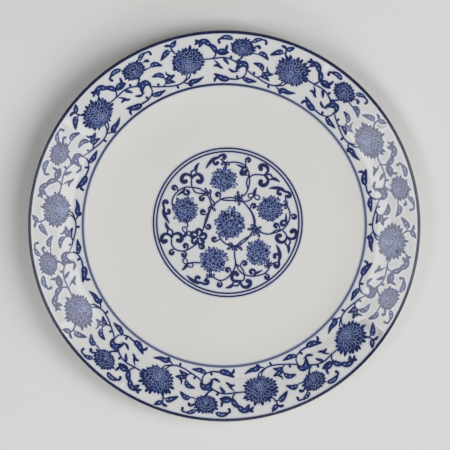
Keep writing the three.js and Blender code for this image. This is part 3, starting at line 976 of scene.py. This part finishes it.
def spray(sheet, joint, degrees, side):
    """A long pointed leaf with a hooked lobe on one side and a curled end behind its joint."""
    place = framed(joint, degrees, side)
    spine = place((-0.6, -0.2), (2.7, -1.7), (5.6, -1.8), (8.9, -1.0), (11.8, 0.2))
    mark(sheet, spine, leaf_width(2.5), 16)
    curled_stroke(sheet, place((3.6, -1.8), (5.0, 0.2), (4.6, 1.8), (3.1, 1.8)), 1.5, 2.1, 2.0)
    curled_stroke(sheet, place((0.6, -0.9), (-1.7, -0.9), (-3.5, 0), (-3.7, 1.5), (-2.5, 1.9)), 1.6, 2.3, 2.1)


def hooked_leaf(sheet, joint, degrees, side):
    """A slim leaf that leaves a vine, with a hook on one side."""
    place = framed(joint, degrees, side)
    spine = place((-2.2, -0.7), (0.4, 0.1), (2.8, -0.2), (6.2, -0.6))
    mark(sheet, spine, leaf_width(1.9, 0.35), 12)
    curled_stroke(sheet, place((0.6, 0.2), (1.0, 2.2), (-0.2, 3.6), (-1.9, 3.3), (-1.9, 1.8)), 1.5, 2.0, 1.7)


def trefoil(sheet, joint, degrees):
    """Two open loops and a pointed leaf."""
    for side in (-1, 1):
        place = framed(joint, degrees + side * TREFOIL_SPREAD)
        loop = place((0, 0), (1.6, 1.4), (3.9, 1.1), (4.0, -0.9), (1.8, -1.3), (0, 0))
        mark(sheet, loop, even(0.85), 20)
    place = framed(joint, degrees)
    mark(sheet, place((-0.4, 0), (2.2, 0.5), (5.6, 0)), leaf_width(2.4, 0.35), 10)
    sheet.dot(joint, 0.9, NAVY_INK)


def hooked_bud(sheet, foot, head, side):
    """A short stalk that hooks over into a round head."""
    along = Vector(head) - Vector(foot)
    place = framed(head, math.degrees(math.atan2(along.y, along.x)), side)
    points = place((-along.length, 0), (-1.3, -1.1), (0.3, -1.4), (1.4, -0.2), (0.7, 1.1), (-0.5, 0.8))
    curled_stroke(sheet, points, 0.9, 2.0, 1.6)


def sprig(sheet, foot, heading):
    """Three little leaves with a spot of white in each, the side ones curled back."""
    for turn, length, bow in ((-64, 3.2, -0.7), (64, 3.2, 0.7), (0, 4.6, 0.2)):
        place = framed(foot, heading + turn)
        spine = place((-0.5, 0), (length / 2, bow), (length, -bow))
        mark(sheet, spine, leaf_width(2.1), 8)
        spot = place((length * 0.5, bow * 0.8))[0]
        sheet.dot(spot, 0.26, PALE_INK, SPOT_LAYER, 1.9, math.radians(heading + turn), 8)


def rosette(sheet, centre):
    """A tight knot of hooked petals round a bud."""
    for k in range(ROSETTE_PETALS):
        place = framed(centre, 360 / ROSETTE_PETALS * k + ROSETTE_TURN)
        hook = place((1.6, -1.6), (3.6, -2.6), (5.3, -1.0), (4.6, 0.9), (3.2, 0.6))
        curled_stroke(sheet, hook, 1.4, 2.1, 1.7)
        mark(sheet, place((0.6, 0), (2.0, 0.6), (3.4, 0.5)), even(1.5), 8)
    sheet.dot(centre, 1.5, NAVY_INK)
    sheet.dot(centre, 0.6, BLEED_INK, SPOT_LAYER)


def medallion_print():
    sheet = Print()
    for vine in MEDALLION_VINES:
        sheet.stroke(vine, even(MEDALLION_VINE), NAVY_INK, VINE_LAYER, STEPS_PER_PLACE * len(vine))
    ornaments = [
        (scroll_knot, MEDALLION_KNOTS),
        (spray, MEDALLION_SPRAYS),
        (hooked_leaf, MEDALLION_HOOKS),
        (trefoil, MEDALLION_TREFOILS),
        (hooked_bud, MEDALLION_BUDS),
        (sprig, MEDALLION_SPRIGS),
    ]
    for draw, places in ornaments:
        for place in places:
            draw(sheet, *place)
    rosette(sheet, ROSETTE_CENTRE)
    for k, (centre, half_width, half_height) in enumerate(MEDALLION_FLOWERS):
        flower(sheet, centre, half_width, half_height, MEDALLION_FLOWER, MEDALLION_HEART, MEDALLION_SEED + k)
    return sheet


def make_medallion():
    middle = centre_of("medallion_outer_line")
    centre = (middle.x, middle.y)
    rings = [
        ("medallion_outer_ring", "medallion_outer_line", "cobalt_line", NAVY, MEDALLION_LINE),
        ("medallion_wash_ring", "medallion_wash", "cobalt_wash", WASH, MEDALLION_WASH),
        ("medallion_inner_ring", "medallion_inner_line", "cobalt_line", NAVY, MEDALLION_LINE),
    ]
    for name, node, slot, material, width in rings:
        outer = half_width_of(node)
        flat_ring = [Vector((outer - width, FLOOR_Z)), Vector((outer, FLOOR_Z))]
        put(painted_line(name, flat_ring, material, centre=centre), slot, node)

    def lay(point, lift):
        return centre[0] + point[0], centre[1] + point[1], FLOOR_Z + lift

    sheet = medallion_print()
    ground_radius = half_width_of("medallion_inner_line") - MEDALLION_LINE
    sheet.dot((0, 0), ground_radius, GROUND_INK, GROUND_LAYER, sides=CIRCLE_POINTS)
    turns = [2 * math.pi * k / CIRCLE_POINTS for k in range(CIRCLE_POINTS + 1)]
    for node in ("medallion_outer_line", "medallion_inner_line"):
        radius = half_width_of(node) - MEDALLION_LINE / 2
        circle = [(radius * math.cos(turn), radius * math.sin(turn)) for turn in turns]
        sheet.bleed(circle, even(MEDALLION_LINE), 4 * CIRCLE_POINTS)
    put(print_piece("medallion", sheet, lay), "cobalt_print", "medallion_print")


# ---------------------------------------- stage
# The sizes and places below are in metres, and the powers in watts.
FLOOR_HALF = 5.0
# Each softbox's name, place, size and power. All of them face the origin.
SOFTBOXES = [
    ("left_softbox", (-0.8, -0.18, 1.45), (0.5, 0.93), 6.6),
    ("right_softbox", (1.13, -0.06, 1.21), (1.4, 0.97), 17.4),
    ("front_softbox", (0.4, -1.35, 0.85), (1.2, 0.5), 7.5),
]
FILL_STRENGTH = 0.14
BACKDROP_STRENGTH = 0.9
CAMERA_DISTANCE = 4.0
CAMERA_LEAN = math.radians(4)
CAMERA_AIM = Vector((0.0005, 0.00105, LIP_Z * MM))
FRAME_WIDTH = 0.3061
# The tone curve's points, between black and its last point.
TONE_POINTS = [(0.5, 0.5), (0.65, 0.648), (0.8, 0.7)]
LAST_TONE = (1.0, 0.74)
COMBINED_CURVE = 3


def make_floor():
    corners = [(x * FLOOR_HALF, y * FLOOR_HALF, 0) for x, y in ((-1, -1), (1, -1), (1, 1), (-1, 1))]
    mesh = bpy.data.meshes.new("floor")
    mesh.from_pydata(corners, [], [(0, 1, 2, 3)])
    mesh.materials.append(floor_material())
    floor = bpy.data.objects.new("floor", mesh)
    bpy.context.scene.collection.objects.link(floor)


def softbox(name, centre, size, power):
    """A rectangle of light that faces the origin."""
    light = bpy.data.lights.new(name, "AREA")
    light.shape = "RECTANGLE"
    light.size, light.size_y = size
    light.energy = power
    piece = bpy.data.objects.new(name, light)
    back = Vector(centre).normalized()
    across = Vector((0, 1, 0)).cross(back).normalized()
    along = back.cross(across)
    piece.matrix_world = Matrix.Translation(centre) @ Matrix((across, along, back)).transposed().to_4x4()
    bpy.context.scene.collection.objects.link(piece)


def make_world():
    """A dim fill that lights the plate, with a brighter backdrop that only the camera sees."""
    world = bpy.data.worlds.new("studio")
    bpy.context.scene.world = world
    world.use_nodes = True
    nodes, links = world.node_tree.nodes, world.node_tree.links
    fill = nodes["Background"]
    fill.inputs["Color"].default_value = (0.96, 0.975, 1.0, 1)
    fill.inputs["Strength"].default_value = FILL_STRENGTH
    backdrop = nodes.new("ShaderNodeBackground")
    backdrop.inputs["Color"].default_value = (0.7, 0.7, 0.69, 1)
    backdrop.inputs["Strength"].default_value = BACKDROP_STRENGTH
    path = nodes.new("ShaderNodeLightPath")
    mix = nodes.new("ShaderNodeMixShader")
    links.new(path.outputs["Is Camera Ray"], mix.inputs["Fac"])
    links.new(fill.outputs["Background"], mix.inputs[1])
    links.new(backdrop.outputs["Background"], mix.inputs[2])
    links.new(mix.outputs["Shader"], nodes["World Output"].inputs["Surface"])


def make_camera():
    """Looks almost straight down on the plate with a long lens, leaning a little from the +Y side."""
    data = bpy.data.cameras.new("camera")
    data.sensor_width = 36
    data.lens = data.sensor_width / 2 / (FRAME_WIDTH / 2 / CAMERA_DISTANCE)
    data.clip_end = 50
    camera = bpy.data.objects.new("camera", data)
    back = Vector((0, math.sin(CAMERA_LEAN), math.cos(CAMERA_LEAN)))
    right = Vector((1, 0, 0))
    up = back.cross(right)
    place = Matrix.Translation(CAMERA_AIM + back * CAMERA_DISTANCE)
    camera.matrix_world = place @ Matrix((right, up, back)).transposed().to_4x4()
    bpy.context.scene.collection.objects.link(camera)
    bpy.context.scene.camera = camera


def make_tone_curve():
    """Leaves dark and middle tones as they are and rolls the highlights off gently."""
    settings = bpy.context.scene.view_settings
    settings.view_transform = "Standard"
    settings.use_curve_mapping = True
    curve = settings.curve_mapping.curves[COMBINED_CURVE]
    curve.points[1].location = LAST_TONE
    for x, y in TONE_POINTS:
        curve.points.new(x, y)
    settings.curve_mapping.update()


make_camera()
make_plate()
make_border()
make_medallion()
make_floor()
make_world()
for box in SOFTBOXES:
    softbox(*box)
make_tone_curve()
